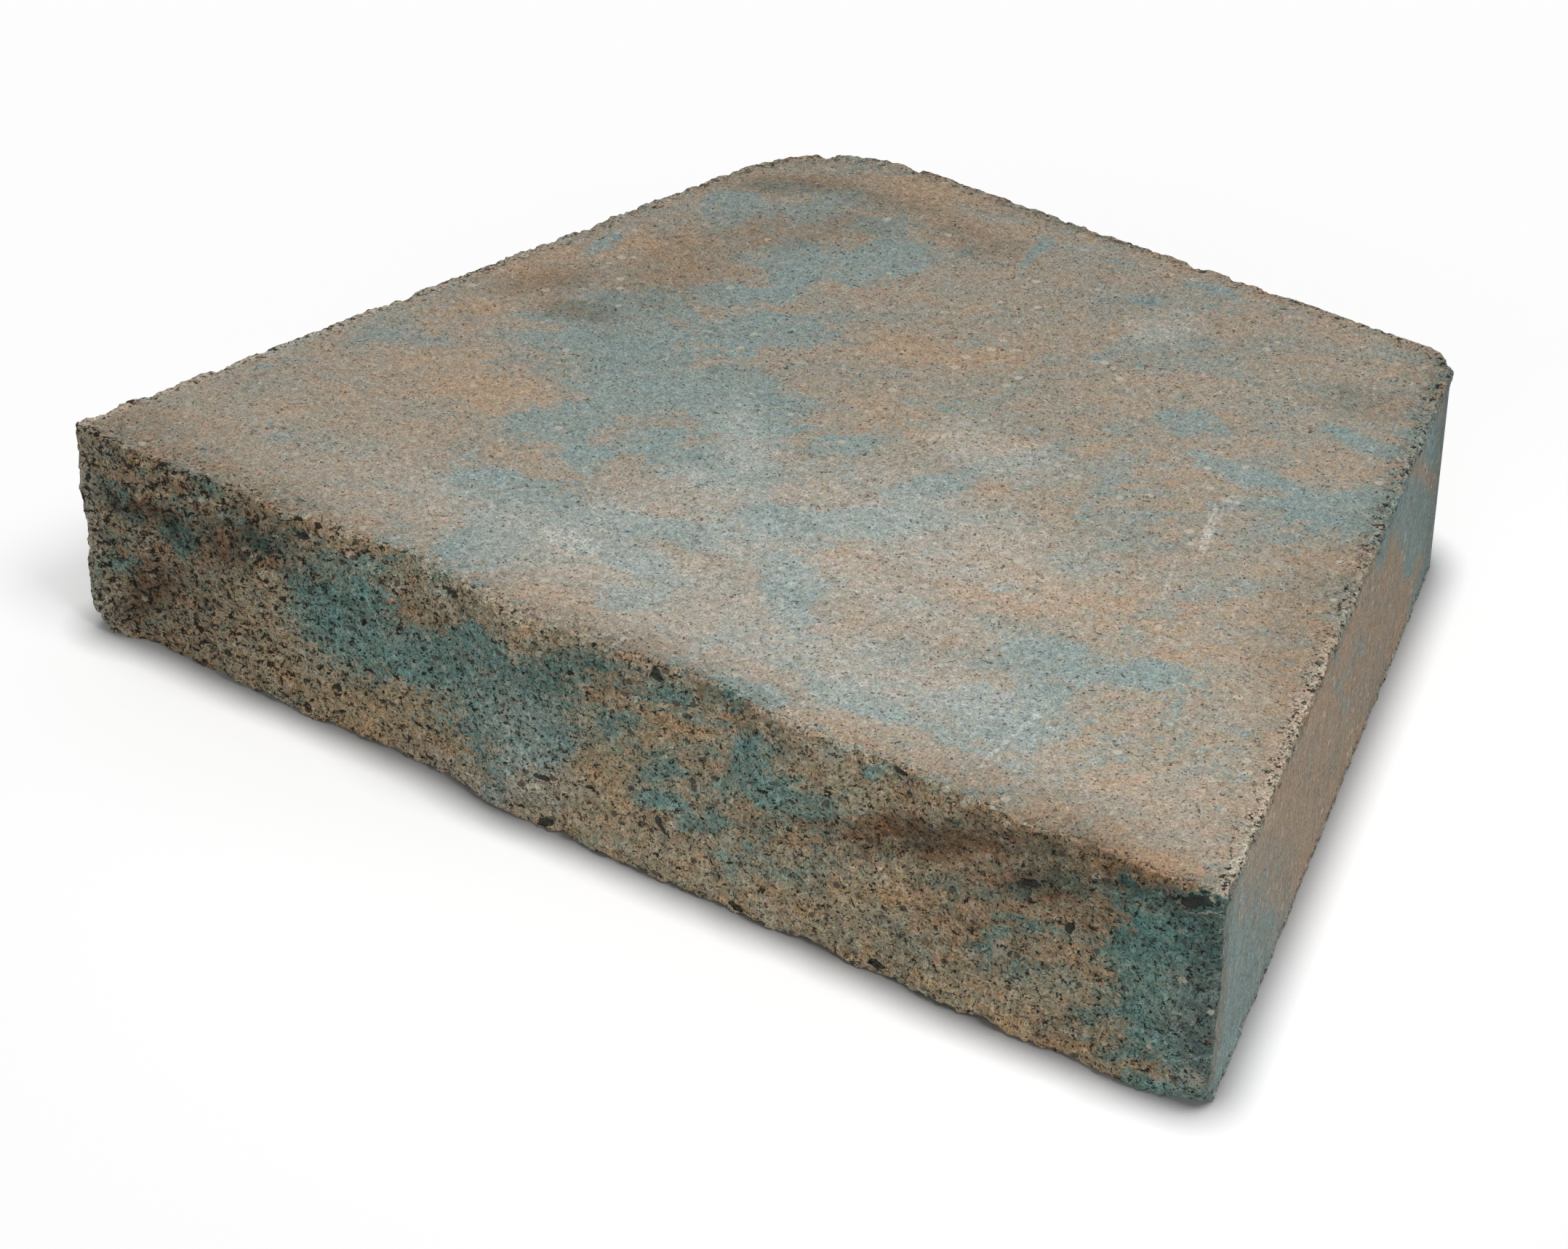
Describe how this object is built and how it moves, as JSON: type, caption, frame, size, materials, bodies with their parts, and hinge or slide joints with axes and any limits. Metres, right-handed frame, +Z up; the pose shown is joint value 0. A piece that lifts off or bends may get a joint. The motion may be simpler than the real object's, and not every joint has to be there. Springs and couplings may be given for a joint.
{
  "type": "retaining wall cap block",
  "caption": "Tapered dry-cast concrete wall cap block with a rough split front face, smooth top, bed and sides, and rounded back corners.",
  "frame": {"origin": "middle of the bounding box, on the floor that the block lies on", "axes": "+X along the split face, to the right when looking at it; +Y from the split face to the back; +Z up through the flat top"},
  "size_m": [0.4381, 0.3108, 0.081],
  "materials": {
    "concrete": "blended buff and blue-grey dry-cast concrete, matt, rough on the split face"
  },
  "bodies": {
    "root": {"cap_block": "concrete"}
  },
  "joints": []
}
